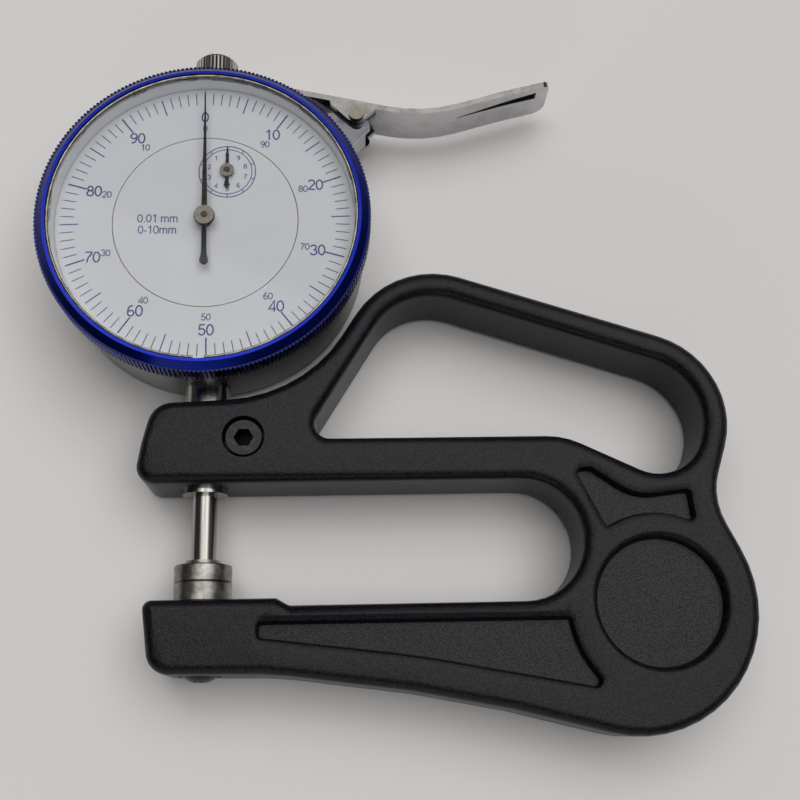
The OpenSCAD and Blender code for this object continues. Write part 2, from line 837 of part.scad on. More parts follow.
// Rack pinion and drive wheel, on one arbor
module rack_pinion() {
    m = rack_module;
    r = rack_pinion_r;
    color("#c9a84c") union() {
        translate([drive_x, drive_y, axis_z - 1.5])
            gear(rack_teeth, r, [r - 0.23, r * 0.95, r, r + 0.4 * m, r + 0.9 * m], 3);
        post(drive_xy, arbor_d, cock_z + cock_t + 0.1, top_z + top_t);
        post(drive_xy, pivot_d, cock_z, cock_z + cock_t + 0.2);
    }
}

wheel_root = wheel_r - 0.25;
wheel_tip = wheel_r + 0.6 * wheel_module;

module spoked_wheel(phase) {
    difference() {
        gear(wheel_teeth, wheel_r, [wheel_root, wheel_tip], wheel_t, phase);
        for (a = [0 : 72 : 359]) rotate(a) translate([5.6, 0, -1]) cylinder(r = 2.3, h = 5);
        translate([0, 0, -1]) cylinder(d = arbor_d, h = 5);
    }
}

module drive_gear() {
    color("#d2b458") translate([drive_x, drive_y, wheel_z]) spoked_wheel(drive_dir);
}

// Centre pinion with the arbor of the main pointer
module centre_pinion() {
    r = centre_r;
    color("#c9a84c") union() {
        translate([0, dial_y, wheel_z - 0.4])
            gear(centre_teeth, r, r * [0.75, 0.95, 1, 1.07, 1.14, 1.2], wheel_t + 0.8, centre_phase);
        post(centre_xy, pivot_d, base_z + 0.1, wheel_z);
        post(centre_xy, arbor_d, wheel_z + 0.1, pointer_z + 0.75);
    }
}

// Main pointer: a long tapered needle with a tail that widens
needle_l = 25.2;
tail_l = 9.65;
hub_d = 2.2;

module main_pointer() {
    color("#17171a") translate([0, dial_y, pointer_z]) rotate(zero_angle) difference() {
        linear_extrude(0.25) union() {
            polygon([[-0.53, 0], [0.53, 0], [0.08, needle_l], [-0.08, needle_l]]);
            polygon(rounded([
                [0.42, 0, 0.1],
                [-0.42, 0, 0.1],
                [-0.45, 2.4 - tail_l, 3],
                [-0.85, 0.7 - tail_l, 0.5],
                [0, -tail_l, 0.4],
                [0.85, 0.7 - tail_l, 0.5],
                [0.45, 2.4 - tail_l, 3]
            ]));
            circle(r = 1.9);
        }
        translate([0, 0, -1]) cylinder(d = hub_d, h = 3);
    }
}

module pointer_hub() {
    color("#cdbf93") difference() {
        union() {
            post(centre_xy, hub_d, dial_z + 0.3, pointer_z + 0.3);
            post(centre_xy, 3.6, pointer_z + 0.25, pointer_z + 0.65);
        }
        post(centre_xy, arbor_d, dial_z, pointer_z + 2);
    }
}

module counter_gear() {
    color("#d2b458") union() {
        translate([counter_xy.x, counter_xy.y, wheel_z]) spoked_wheel(counter_phase);
        post(counter_xy, pivot_d, base_z + 0.1, wheel_z);
        post(counter_xy, arbor_d, wheel_z - 0.3, counter_z + 0.5);
    }
}

// Counter pointer: a small needle, held by its hub
counter_z = dial_z + 0.35;
counter_sleeve_d = 1.9;

module counter_pointer() {
    color("#17171a") translate([counter_xy.x, counter_xy.y, counter_z]) difference() {
        linear_extrude(0.2) union() {
            polygon([[-0.4, 0], [0.4, 0], [0.1, 4.85], [-0.1, 4.85]]);
            polygon([[0.25, 0], [-0.25, 0], [-0.3, -2], [-0.55, -2.9], [0, -3.4], [0.55, -2.9], [0.3, -2]]);
            circle(r = 1.25);
        }
        translate([0, 0, -1]) cylinder(d = counter_sleeve_d, h = 3);
    }
}

module counter_hub() {
    color("#cdbf93") difference() {
        union() {
            post(counter_xy, counter_sleeve_d, counter_z, counter_z + 0.3);
            post(counter_xy, 2.6, counter_z + 0.2, counter_z + 0.55);
        }
        post(counter_xy, arbor_d, dial_z, counter_z + 2);
    }
}

// Hairspring: a flat spiral on a collet, on the counter's arbor
spiral_turns = 5;
spiral_r = [1.3, 4.4];
spiral_t = 0.12;
spiral_step = 15;

module hairspring() {
    count = spiral_turns * 360 / spiral_step;
    grow = (spiral_r[1] - spiral_r[0]) / count;
    function at(k, side) = polar(spiral_r[0] + grow * k + side * spiral_t / 2, k * spiral_step);
    color("#7f8fb0") translate([counter_xy.x, counter_xy.y, top_z - 0.9]) difference() {
        union() {
            linear_extrude(0.5) polygon(concat(
                [for (k = [0 : count]) at(k, 1)],
                [for (k = [count : -1 : 0]) at(k, -1)]
            ));
            cylinder(r = spiral_r[0] + 0.02, h = 0.5);
        }
        translate([0, 0, -1]) cylinder(d = arbor_d, h = 3);
    }
}

// Round wire of diameter d along a path of points [x, y, z]
module wire(path, d, sides = 8) {
    n = len(path);
    function along(i) = unit(path[min(i + 1, n - 1)] - path[max(i - 1, 0)]);
    function across(i) = unit(cross(along(i), [0, 0, 1]));
    function ring(i) = [
        for (k = [0 : sides - 1])
            let (a = 360 * k / sides, u = across(i), v = cross(u, along(i)))
            path[i] + d / 2 * (cos(a) * u + sin(a) * v)
    ];
    points = [for (i = [0 : n - 1]) each ring(i)];
    walls = [
        for (i = [0 : n - 2])
            for (k = [0 : sides - 1])
                let (j = (k + 1) % sides)
                [i * sides + k, i * sides + j, (i + 1) * sides + j, (i + 1) * sides + k]
    ];
    ends = [
        [for (k = [sides - 1 : -1 : 0]) k],
        [for (k = [0 : sides - 1]) (n - 1) * sides + k]
    ];
    polyhedron(points, concat(walls, ends));
}

// Return spring: a coil round its post, with an arm that presses on the guide pin
coil_turns = 3;
coil_step = 15;
coil_pitch = 0.6;

module return_spring() {
    count = coil_turns * 360 / coil_step;
    coil = [
        for (k = [0 : count])
            let (p = polar(spring_r, 270 + (count - k) * coil_step))
            [p.x, p.y, coil_pitch * (k - count) * coil_step / 360]
    ];
    color("#8a8a88") translate([spring_xy.x, spring_xy.y, axis_z]) rotate(spring_rest)
        wire(concat(coil, [[-spring_arm, -spring_r, 0]]), spring_wire);
}

// Bracket: a channel with two ears for the rivet, on a foot that hugs the case
bracket_angles = [41, 53];
foot_t = 1;
foot_lip = 0.4;
ear_z = [lever_z + sheet_t + 0.15, lever_z + lever_w - 2 * sheet_t - 0.15];
channel_h = ear_z[1] - ear_z[0] + sheet_t;
foot_a = [33, 60];
ear_corners = [
    concat(centre_xy + polar(case_r, foot_a[0] + 1), 0.3),
    concat(rivet_xy + [2.9, -2], 1),
    concat(rivet_xy + [1, 1.5], 1.3),
    concat(rivet_xy + [-2.4, 1.5], 1.2),
    concat(centre_xy + polar(case_r, foot_a[1]), 0.3)
];

module lever_bracket() {
    web = unit([ear_corners[1].x - ear_corners[0].x, ear_corners[1].y - ear_corners[0].y]);
    web_a = atan2(web.y, web.x);
    color("#d9d9dc") difference() {
        union() {
            for (z = ear_z) translate([0, 0, z]) linear_extrude(sheet_t) polygon(rounded(ear_corners));
            translate([ear_corners[0].x, ear_corners[0].y, ear_z[0] + sheet_t / 2]) rotate(web_a)
                translate([0, 0.1, 0]) cube([8.2, sheet_t, channel_h - sheet_t]);
            translate([0, dial_y, ear_z[0] - foot_lip]) rotate(foot_a[0])
                rotate_extrude(angle = foot_a[1] - foot_a[0], $fn = 180)
                    translate([case_r - 1, 0]) square([foot_t + 1, channel_h + 2 * foot_lip]);
        }
        translate([0, dial_y, 0]) cylinder(r = case_r, h = 2 * frame_t, $fn = 180);
        post(rivet_xy, pin_d + 2 * screw_fit, 0, 20);
        for (a = bracket_angles) {
            translate([0, dial_y, axis_z]) rotate([0, 90, a]) cylinder(d = small_d + 2 * screw_fit, h = case_r + 3);
        }
    }
}

module bracket_screws() {
    color("#9a9a9a") for (a = bracket_angles) {
        translate([0, dial_y, axis_z]) rotate([0, 90, a]) translate([0, 0, case_r + foot_t])
            slotted_screw(small_d, small_head_d, 0.9, 2.6);
    }
}

module lever_pin() {
    color("#cdbf93") union() {
        post(rivet_xy, pin_d, lever_z - 0.2, lever_z + lever_w + 0.2);
        for (z = [lever_z - 0.75, lever_z + lever_w + 0.15]) post(rivet_xy, 2.9, z, z + 0.6);
    }
}

// Lever: a bent strip with a fork under the cap, two ears for the rivet, and a pressed thumb groove
fork_w = 5.4;
groove_r = 0.75;
groove_from = concat(rivet_xy + [19.5, 1.2], axis_z + 1.2);
groove_to = concat(rivet_xy + [35.2, 5.67], axis_z + 2.1);

module lift_lever() {
    ear = rounded([
        concat(rivet_xy + [-0.2, -ear_r], ear_r),
        concat(rivet_xy + [3.9, 1.3], 0.4),
        concat(rivet_xy + [3.5, 2.1], 0.2),
        concat(rivet_xy + [-4.9, 3.8], 0.2),
        concat(rivet_xy + [-5.1, 2.5], 1)
    ]);
    plan = rounded([
        [fork_x - 2, lever_z, 0.3],
        [tip_x, lever_z, 2.6],
        [tip_x, lever_z + lever_w, 1.6],
        [fork_x - 2, lever_z + lever_w, 0.3]
    ]);
    color("#d9d9dc") difference() {
        union() {
            intersection() {
                translate([0, 0, lever_z]) linear_extrude(lever_w)
                    polygon(rounded(strip(strip_path, sheet_t)));
                translate([0, fork_y + 20, 0]) rotate([90, 0, 0]) linear_extrude(60) polygon(plan);
            }
            for (z = [lever_z, lever_z + lever_w - sheet_t]) {
                translate([0, 0, z]) linear_extrude(sheet_t) polygon(ear);
            }
        }
        post(rivet_xy, pin_d + 2 * run_fit, 0, 20);
        translate([fork_x - 2, fork_y - 5, axis_z - fork_w / 2]) cube([10.5, 10, fork_w]);
        translate(groove_from) groove(groove_to - groove_from);
    }
}

// Cutter for the thumb groove: a slim cone that deepens towards the lever's tip
module groove(way) {
    rotate([0, acos(way.z / norm(way)), atan2(way.y, way.x)])
        cylinder(r1 = 0.05, r2 = groove_r, h = norm(way), $fn = 48);
}

frame();
anvil();
anvil_screw();
clamp_screw();
stem();
stem_bush();
case();
case_back();
back_screws();
top_bush();
base_plate();
plate_screws();
pillars();
top_plate();
pinion_cock();
guide_block();
spring_post();
hairspring_stud();
dial_disc();
lever_bracket();
bracket_screws();
lever_pin();
bezel();
crystal();
snap_ring();
dial_ring();
spindle();
contact();
lift_cap();
guide_pin();
rack_pinion();
drive_gear();
centre_pinion();
main_pointer();
pointer_hub();
counter_gear();
counter_pointer();
counter_hub();
hairspring();
return_spring();
lift_lever();
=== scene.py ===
# %% [markdown]
# # A dial thickness gauge, dressed in Blender
# The shapes come from CAD: casting, case, bezel, spindle, lever and a whole movement behind the dial.
# This lesson gives each of them its finish, prints the dial, and sets up the light and the camera.
# A finish could be a photograph wrapped round the part. Here each one is a small sum of noises and
# masks instead, so it has no seams, keeps its scale in millimetres, and can be read and changed.

# %% Load the frame
import math
import bpy
import bmesh
from mathutils import Matrix, Vector


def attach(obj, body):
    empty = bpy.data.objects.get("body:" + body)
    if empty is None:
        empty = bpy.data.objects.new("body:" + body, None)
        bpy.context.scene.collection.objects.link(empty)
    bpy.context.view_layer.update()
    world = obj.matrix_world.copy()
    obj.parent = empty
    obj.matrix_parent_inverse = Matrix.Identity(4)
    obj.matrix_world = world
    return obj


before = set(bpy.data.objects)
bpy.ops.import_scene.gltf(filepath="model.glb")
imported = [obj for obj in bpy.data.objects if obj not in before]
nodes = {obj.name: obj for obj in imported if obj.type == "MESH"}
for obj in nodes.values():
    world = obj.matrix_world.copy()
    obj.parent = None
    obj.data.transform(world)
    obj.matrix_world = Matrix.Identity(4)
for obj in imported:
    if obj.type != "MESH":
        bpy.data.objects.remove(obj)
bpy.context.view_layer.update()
MM = 0.001

# %% [markdown]
# ## Measuring the frame
# Masks and print have to know where an axis or a face lies. Those places could be copied from the CAD source,
# but a copy goes stale when a size changes. So they are measured here. Every CAD node sits at the origin with
# its place in its mesh, and the middle of a round piece's box is its axis.


# %% Axes and heights, in millimetres
def box(name):
    """Low and high corner of a node's box."""
    spots = [v.co / MM for v in nodes[name].data.vertices]
    return [Vector([pick(s[k] for s in spots) for k in range(3)]) for pick in (min, max)]


def middle(name):
    low, high = box(name)
    return (low + high) / 2


def top(name):
    return box(name)[1].z


DIAL = middle("dial_disc").xy
COUNTER = middle("counter_hub").xy
SPINDLE_HEIGHT = middle("spindle").z
print("dial axis", DIAL[:], "counter axis", COUNTER[:], "spindle height", SPINDLE_HEIGHT)

# %% [markdown]
# ## Sums of sockets
# A finish is mostly arithmetic on sockets: a mask is a radius compared with a limit, and a bump is one
# noise plus another. Wiring each Math node by hand takes five lines, and it hides the sum. So a reading
# wraps one output socket and answers to the usual operators, with the number on either side.
# A vector goes through Vector Math, and a colour is mixed, never added.


# %% A socket that takes part in sums
class Reading:
    """One output socket of a patch, which can be added, scaled and compared like a number."""

    def __init__(self, patch, socket):
        self.patch = patch
        self.socket = socket

    def work(self, operation, other=None, swap=False):
        kind = "VectorMath" if self.socket.type == "VECTOR" else "Math"
        pair = [self] if other is None else [other, self] if swap else [self, other]
        return self.patch.node(kind, {"operation": operation}, dict(enumerate(pair)))

    def __add__(self, other): return self.work("ADD", other)
    def __radd__(self, other): return self.work("ADD", other, True)
    def __sub__(self, other): return self.work("SUBTRACT", other)
    def __rsub__(self, other): return self.work("SUBTRACT", other, True)
    def __mul__(self, other): return self.work("MULTIPLY", other)
    def __rmul__(self, other): return self.work("MULTIPLY", other, True)
    def __truediv__(self, other): return self.work("DIVIDE", other)
    def __rtruediv__(self, other): return self.work("DIVIDE", other, True)
    def __pow__(self, other): return self.work("POWER", other)
    def __rpow__(self, other): return self.work("POWER", other, True)
    def __gt__(self, other): return self.work("GREATER_THAN", other)
    def __lt__(self, other): return self.work("LESS_THAN", other)
    def __abs__(self): return self.work("ABSOLUTE")

    def part(self, name):
        return self.patch.node("SeparateXYZ", {}, {"Vector": self}, name)

    def step(self, low, high):
        """0 below low, 1 above high, and smooth between them."""
        return self.patch.node("MapRange", {"interpolation_type": "SMOOTHSTEP"},
                               {"Value": self, "From Min": low, "From Max": high})


print("readings answer to + - * / ** < > abs")

# %% [markdown]
# ## Patches and finishes
# A patch is a node tree with one way to make a node: its type, its settings, then its sockets. A finish is
# a patch for a material, with a Principled surface at its end. Object coordinates are the part's own
# metres, because the place of a CAD node is in its mesh, and they travel with a moving piece. That is why
# all noises here read the object coordinate and none reads a texture map.


# %% Node trees made in one way
class Patch:
    """A node tree whose nodes are all made by one method."""

    def __init__(self, tree):
        self.tree = tree

    def feed(self, socket, value):
        if isinstance(value, Reading):
            self.tree.links.new(value.socket, socket)
        elif socket.type == "VECTOR" and not hasattr(value, "__len__"):
            socket.default_value = (value, value, value)
        elif socket.type == "RGBA":
            socket.default_value = (*value[:3], 1)
        else:
            socket.default_value = value

    def node(self, kind, settings=None, sockets=None, out=0):
        made = self.tree.nodes.new("ShaderNode" + kind)
        for name, value in (settings or {}).items():
            setattr(made, name, value)
        for name, value in (sockets or {}).items():
            self.feed(made.inputs[name], value)
        return Reading(self, made.outputs[out])

    def blend(self, mask, a, b):
        """Colour a where the mask is 0, and b where it is 1."""
        return self.node("Mix", {"data_type": "RGBA"}, {0: mask, 6: a, 7: b}, 2)

    def noise(self, place, size, detail=2, rough=0.5):
        """Soft noise from 0 to 1, with features of about the given size in millimetres."""
        return self.node("TexNoise", {}, {"Vector": place, "Scale": 1 / (size * MM), "Detail": detail,
                                          "Roughness": rough}, "Fac")

    def cells(self, place, size):
        """Distance to the nearest of many scattered points, in parts of the given size in millimetres."""
        return self.node("TexVoronoi", {"feature": "F1"}, {"Vector": place, "Scale": 1 / (size * MM)},
                         "Distance")

    def vector(self, x, y, z):
        return self.node("CombineXYZ", {}, {"X": x, "Y": y, "Z": z})


print("patches make nodes, blends, noises and cells")


# %% Materials for pieces of the gauge
class Finish(Patch):
    """A material with a Principled surface."""

    def __init__(self, name, **values):
        self.material = bpy.data.materials.new(name)
        self.material.use_nodes = True
        super().__init__(self.material.node_tree)
        self.surface = next(n for n in self.tree.nodes if n.type == "BSDF_PRINCIPLED")
        self.place = self.node("TexCoord", out="Object")
        for socket, value in values.items():
            self.set(socket.replace("_", " ").title(), value)

    def set(self, socket, value):
        self.feed(self.surface.inputs[socket.replace("Ior", "IOR")], value)

    def film(self, mask, dark, light, rough, swing):
        """A colour from dark to light by a mask, and a roughness that swings with it."""
        self.set("Base Color", self.blend(mask, dark, light))
        self.set("Roughness", rough + mask * swing)

    def bump(self, height, deep, strength=1.0):
        """Raise the surface by the height times so many millimetres."""
        self.set("Normal", self.node("Bump", {}, {"Height": height, "Distance": deep * MM,
                                                  "Strength": strength}, "Normal"))

    def height(self):
        """Height above the back face, in millimetres."""
        return self.place.part("Z") / MM

    def facing_up(self, low, high):
        """1 where the face looks up, by the upright part of its normal."""
        return self.node("NewGeometry", out="True Normal").part("Z").step(low, high)

    def from_axis(self, axis):
        """Distance from an upright axis, in millimetres."""
        dx, dy = (self.place.part(k) / MM - a for k, a in zip("XY", axis))
        return (dx * dx + dy * dy) ** 0.5

    def from_spindle(self):
        """Distances from the spindle's axis to the side and upward, in millimetres."""
        return self.place.part("X") / MM, self.height() - SPINDLE_HEIGHT

    def wear(self, *names):
        for name in names:
            mesh = nodes[name].data
            mesh.materials.clear()
            mesh.materials.append(self.material)
        print(self.material.name, "on", ", ".join(names))


print("finishes are ready")

# %% [markdown]
# ## Soft edges on the casting
# The casting's rounded edges come from CAD as narrow flat strips. They could be subdivided, but then the
# mesh would no longer be the CAD mesh. A modifier leaves the mesh alone: it joins the strips' doubled
# points, calls every edge under a limit angle smooth, and weights the normals by area so that the large
# flat faces stay flat up to their rims. Pressed and turned small pieces get the same.

# %% A modifier that smooths by angle
SMOOTH_BELOW = math.radians(34)
JOIN_WITHIN = 0.002 * MM
FLAT_FACES_WIN = 100


def smoothing():
    group = bpy.data.node_groups.new("smooth_by_angle", "GeometryNodeTree")
    for way in ("INPUT", "OUTPUT"):
        group.interface.new_socket("Geometry", in_out=way, socket_type="NodeSocketGeometry")
    start, plain, join, angle, below, end = (group.nodes.new(kind) for kind in (
        "NodeGroupInput", "GeometryNodeRemoveAttribute", "GeometryNodeMergeByDistance",
        "GeometryNodeInputMeshEdgeAngle", "FunctionNodeCompare", "NodeGroupOutput"))
    faces, edges = (group.nodes.new("GeometryNodeSetShadeSmooth") for _ in range(2))
    faces.domain, edges.domain = "FACE", "EDGE"
    plain.inputs["Name"].default_value = "custom_normal"
    join.inputs["Distance"].default_value = JOIN_WITHIN
    below.operation = "LESS_THAN"
    below.inputs[1].default_value = SMOOTH_BELOW
    chain = [start, plain, join, faces, edges, end]
    for a, b in zip(chain, chain[1:]):
        group.links.new(a.outputs[0], b.inputs[0])
    group.links.new(angle.outputs["Unsigned Angle"], below.inputs[0])
    group.links.new(below.outputs[0], edges.inputs["Shade Smooth"])
    return group


smooth = smoothing()
print("the smoothing has", len(smooth.nodes), "nodes")

# %% Smooth the casting and the small pieces
SMOOTHED = ("frame", "lift_lever", "lever_bracket", "lift_cap", "main_pointer", "counter_pointer")
for name in SMOOTHED:
    soft = nodes[name].modifiers.new("soft", "NODES")
    soft.node_group = smooth
    even = nodes[name].modifiers.new("even", "WEIGHTED_NORMAL")
    even.keep_sharp = True
    even.weight = FLAT_FACES_WIN
print("smoothed by angle:", ", ".join(SMOOTHED))

# %% [markdown]
# ## Black wrinkle paint
# The casting is sprayed with a black paint that dries in fine pebbles, a third of a millimetre wide. One
# noise would look like cloth. So the pebbles are cells softened by a noise, and they are deep enough to
# break up the highlight. Their tops are rubbed a little smoother and greyer, most of all on the pocket
# floors, which are found by their depth under the top face. A few specks of dust lie on it all.

# %% The casting's paint
POCKET_RIM, POCKET_FLOOR = 1.6, 1.9
paint = Finish("frame_paint", ior=1.3)
grain = paint.noise(paint.place, 0.22, 3, 0.65)
pebble = 1 - paint.cells(paint.place, 0.3)
smudge = paint.noise(paint.place, 14, 3)
dust = paint.cells(paint.place, 2.6) < paint.noise(paint.place, 5, 1).step(0.62, 0.8) * 0.055
pocket = paint.facing_up(0.9, 0.97) * (top("frame") - paint.height()).step(POCKET_RIM, POCKET_FLOOR)
tops = (pebble * 0.45 + grain * 0.55).step(0.42, 0.66)
black = paint.blend(tops, (0.001, 0.001, 0.0016), (0.0165, 0.016, 0.024))
black = paint.blend(pocket * tops, black, (0.026, 0.0255, 0.03))
paint.set("Base Color", paint.blend(dust * 0.5, black, (0.2, 0.19, 0.18)))
paint.set("Roughness", 0.3 + smudge * 0.08 - tops * 0.08)
paint.bump(pebble * 0.5 + grain * 0.7, 0.07, 0.8)
paint.wear("frame")

# %% [markdown]
# ## Ground and polished steel
# The contact and the anvil are turned and then ground, so their sides carry fine rings about the spindle,
# and grey handling marks. Rings about an axis could be a wave pattern, but waves are too even. They are a
# noise of the place along the axis alone, so it has only lines. The spindle and the stem are polished: almost
# no rings, and long faint streaks along the axis, which are a noise of the angle, stretched along it.

# %% Contact and anvil
ground = Finish("ground_steel", metallic=1.0)
rings = ground.noise(ground.vector(0, ground.place.part("Y"), 0), 0.16, 3, 0.7)
mottle = ground.noise(ground.place, 2.2, 4, 0.65)
ground.set("Base Color", ground.blend(mottle.step(0.35, 0.7), (0.2, 0.19, 0.175), (0.42, 0.405, 0.38)))
ground.set("Roughness", 0.2 + mottle * 0.22 + rings * 0.08)
ground.bump(rings + mottle * 0.4, 0.012, 0.7)
ground.wear("contact", "anvil")

# %% Spindle, stem and bushes
STREAK_RADIUS = 4.2 * MM
STREAK_STRETCH = 0.03
polish = Finish("polished_steel", metallic=1.0)
beside, above = polish.from_spindle()
turn = above.work("ARCTAN2", beside)
along = polish.place.part("Y")
streak = polish.noise(polish.vector(turn * STREAK_RADIUS, along * STREAK_STRETCH, 0), 0.5, 3, 0.6)
rings = polish.noise(polish.vector(0, along, 0), 0.3, 2)
polish.set("Base Color", polish.blend(streak.step(0.3, 0.7), (0.275, 0.265, 0.245), (0.435, 0.42, 0.392)))
polish.set("Roughness", 0.1 + streak * 0.1 + rings * 0.04)
polish.bump(streak, 0.004, 0.6)
polish.wear("spindle", "stem", "stem_bush", "top_bush")

# %% [markdown]
# ## Blackened and bright screws
# The clamp screw and the anvil's screw are blackened by oxide, which is thin: it is rubbed brown at the
# highest places and holds a film of oil. Nothing rubs inside the clamp screw's socket, so it stays black. The
# socket could be a second material, but a mask by depth and by distance from the screw's axis needs no new
# faces. The small inside screws are plain bright steel.

# %% Screws
CLAMP = middle("clamp_screw").xy
SOCKET_RADIUS = 2.4
oxide = Finish("black_oxide")
film = oxide.noise(oxide.place, 1.1, 4, 0.6)
socket = (oxide.from_axis(CLAMP) < SOCKET_RADIUS) * (top("clamp_screw") - oxide.height()).step(0.1, 0.4)
worn = oxide.blend(film.step(0.4, 0.75), (0.008, 0.008, 0.009), (0.032, 0.029, 0.026))
oxide.set("Base Color", oxide.blend(socket, worn, (0.003, 0.003, 0.003)))
oxide.set("Metallic", 0.6 + socket * 0.4)
oxide.set("Roughness", 0.26 + film * 0.2)
oxide.bump(film, 0.02, 0.6)
oxide.wear("clamp_screw", "anvil_screw")

bright = Finish("screw_steel", metallic=1.0)
bright.film(bright.noise(bright.place, 0.8, 4, 0.6), (0.4, 0.39, 0.375), (0.62, 0.61, 0.59), 0.22, 0.2)
bright.wear("back_screws", "plate_screws", "bracket_screws")

# %% [markdown]
# ## The knurled cap
# The cap on top of the spindle is knurled, and its valleys hold grease. The grease could be painted on face
# by face. But how deep a place lies is its distance from the spindle's axis, so one radius gives both the
# dark valleys and the worn ridges.

# %% The lift cap
CAP_VALLEY, CAP_RIDGE = 3.8, 4.08
knurl = Finish("knurled_steel", metallic=1.0)
beside, above = knurl.from_spindle()
ridge = ((beside * beside + above * above) ** 0.5).step(CAP_VALLEY, CAP_RIDGE)
film = knurl.noise(knurl.place, 0.9, 4, 0.6)
knurl.set("Base Color", knurl.blend(ridge * 0.7 + film * 0.3, (0.05, 0.045, 0.04), (0.34, 0.325, 0.3)))
knurl.set("Roughness", 0.44 - ridge * 0.16 + film * 0.1)
knurl.bump(film, 0.015, 0.6)
knurl.wear("lift_cap")

# %% [markdown]
# ## The case and its back
# The case is aluminium with a satin finish, blasted and left grey, with faint turning lines. The part of the
# back cover below the joint has a lighter, bright-turned rim. The joint gets a painted shade. It could be
# left to the shadow between the pieces, but the gap is too narrow for that, so the shade is painted by
# height: what lies within a fifth of a millimetre of the joint is darker.

# %% The case
SEAM_HEIGHT = box("case")[0].z
satin = Finish("case_satin", metallic=0.85)
height = satin.height()
turned = satin.noise(satin.vector(0, 0, satin.place.part("Z")), 0.22, 3, 0.7)
blast = satin.noise(satin.place, 0.25, 2)
cloud = satin.noise(satin.place, 9, 3)
# painted shade along the joint: darker within a fifth of a millimetre of it
joint_shade = 1 - abs(height - SEAM_HEIGHT).step(0.06, 0.22)
rim = (SEAM_HEIGHT - height).step(0, 0.15)
grey = satin.blend(cloud * 0.6 + blast * 0.4, (0.235, 0.235, 0.24), (0.36, 0.36, 0.365))
grey = satin.blend(rim * 0.7, grey, (0.6, 0.6, 0.6))
# the painted shade of the joint laid over the case's grey
satin.set("Base Color", satin.blend(joint_shade * 0.85, grey, (0.03, 0.03, 0.03)))
satin.set("Roughness", 0.36 + blast * 0.12 - rim * 0.12)
satin.bump(blast * 0.6 + turned, 0.012, 0.6)
satin.wear("case", "case_back")

# %% [markdown]
# ## The blue bezel
# The bezel is turned from aluminium and anodised deep blue. The dye sits in a clear oxide layer over metal,
# so it is a metallic blue with a soft coat, not a paint. The knurl gets painted shade: darker in its valleys,
# and darker on the upward faces of its ridges, which dims their highlights. Inside, below the crystal, the
# wall is bare and pale. All this could be separate materials on separate faces, but it follows from one
# depth, measured inward from the tips of the ridges.

# %% The bezel
BEZEL_RADIUS = box("bezel")[1].x - DIAL.x
VALLEY = (0.03, 0.35)
KNURL_ROOT = (0.43, 0.55)
INNER_WALL = (2.21, 2.24)
blue = Finish("bezel_blue", coat_roughness=0.15)
radius = blue.from_axis(DIAL)
depth = BEZEL_RADIUS - radius
knurled = 1 - depth.step(*KNURL_ROOT)
inner = depth.step(*INNER_WALL)
turned = blue.noise(blue.vector(radius, blue.height(), 0) * MM, 0.14, 3, 0.7)
cloud = blue.noise(blue.place, 6, 3)
dye_and_shade = blue.blend(cloud * 0.6 + turned * 0.4, (0.002, 0.009, 0.15), (0.003, 0.013, 0.25))
# painted shade in the valleys of the knurl
dye_and_shade = blue.blend(knurled * depth.step(*VALLEY) * 0.85, dye_and_shade, (0.002, 0.004, 0.03))
# painted shade on the upward faces of the knurl's ridges, dimming their highlights
dye_and_shade = blue.blend(knurled * blue.facing_up(0.4, 0.8) * 0.85, dye_and_shade, (0.002, 0.005, 0.045))
blue.set("Base Color", blue.blend(inner, dye_and_shade, (0.84, 0.845, 0.85)))
blue.set("Metallic", 1 - inner)
blue.set("Roughness", 0.2 + cloud * 0.08 + turned * 0.08 + inner * 0.45)
blue.set("Coat Weight", 0.15 - inner * 0.1)
blue.bump(turned + cloud * 0.5, 0.006, 0.6)
blue.wear("bezel")

# %% [markdown]
# ## Crystal and wire ring
# The crystal is a flat disc of clear plastic. Full refraction would darken the print and make noise, and a
# thin flat disc bends nothing that one can see. So it is clear, with a gloss that grows at low angles by
# Fresnel, and old finger marks make that gloss uneven. The ring that holds it is brass wire, a little dull.

# %% The crystal and its ring
glass = Finish("crystal")
marks = glass.noise(glass.place, 7, 4, 0.6)
shine = glass.node("Fresnel", {}, {"IOR": 1.46}) * (0.16 + marks * 0.12)
clear = glass.node("BsdfTransparent", {}, {"Color": (0.985, 0.99, 0.995)})
gloss = glass.node("BsdfGlossy", {}, {"Color": (1, 1, 1), "Roughness": 0.05})
both = glass.node("MixShader", {}, {0: shine, 1: clear, 2: gloss})
ending = next(n for n in glass.tree.nodes if n.type == "OUTPUT_MATERIAL")
glass.feed(ending.inputs["Surface"], both)
glass.wear("crystal")

wire = Finish("ring_gold", metallic=1.0)
film = wire.noise(wire.place, 1.5, 4, 0.6)
wire.set("Base Color", wire.blend(film.step(0.35, 0.7), (0.2, 0.18, 0.145), (0.42, 0.385, 0.325)))
wire.set("Roughness", 0.2 + film * 0.16)
wire.bump(film, 0.01, 0.5)
wire.wear("snap_ring")

# %% [markdown]
# ## The dial, its pointers and their hubs
# The dial is a sheet with white enamel, slightly blue, and very finely grained. The pointers are black
# lacquer, which hardly shines. Their hubs are nickel, with the dark end of the arbor in the middle. That end
# could be a piece of its own, but it is only a pixel or two wide, so a mask about both axes draws it.

# %% Dial, pointers and hubs
ARBOR_END = (0.5, 0.62)
enamel = Finish("dial_white", ior=1.48)
cloud = enamel.noise(enamel.place, 12, 3)
fine = enamel.noise(enamel.place, 0.12, 2)
enamel.set("Base Color", enamel.blend(cloud * 0.7 + fine * 0.3, (0.597, 0.6, 0.619), (0.65, 0.652, 0.667)))
enamel.set("Roughness", 0.42 + fine * 0.1)
enamel.bump(fine, 0.003, 0.5)
enamel.wear("dial_disc", "dial_ring")

lacquer = Finish("pointer_black", specular_ior_level=0.03)
film = lacquer.noise(lacquer.place, 0.6, 3)
lacquer.film(film, (0.002, 0.002, 0.003), (0.008, 0.008, 0.009), 0.44, 0.16)
lacquer.bump(film, 0.004, 0.5)
lacquer.wear("main_pointer", "counter_pointer")

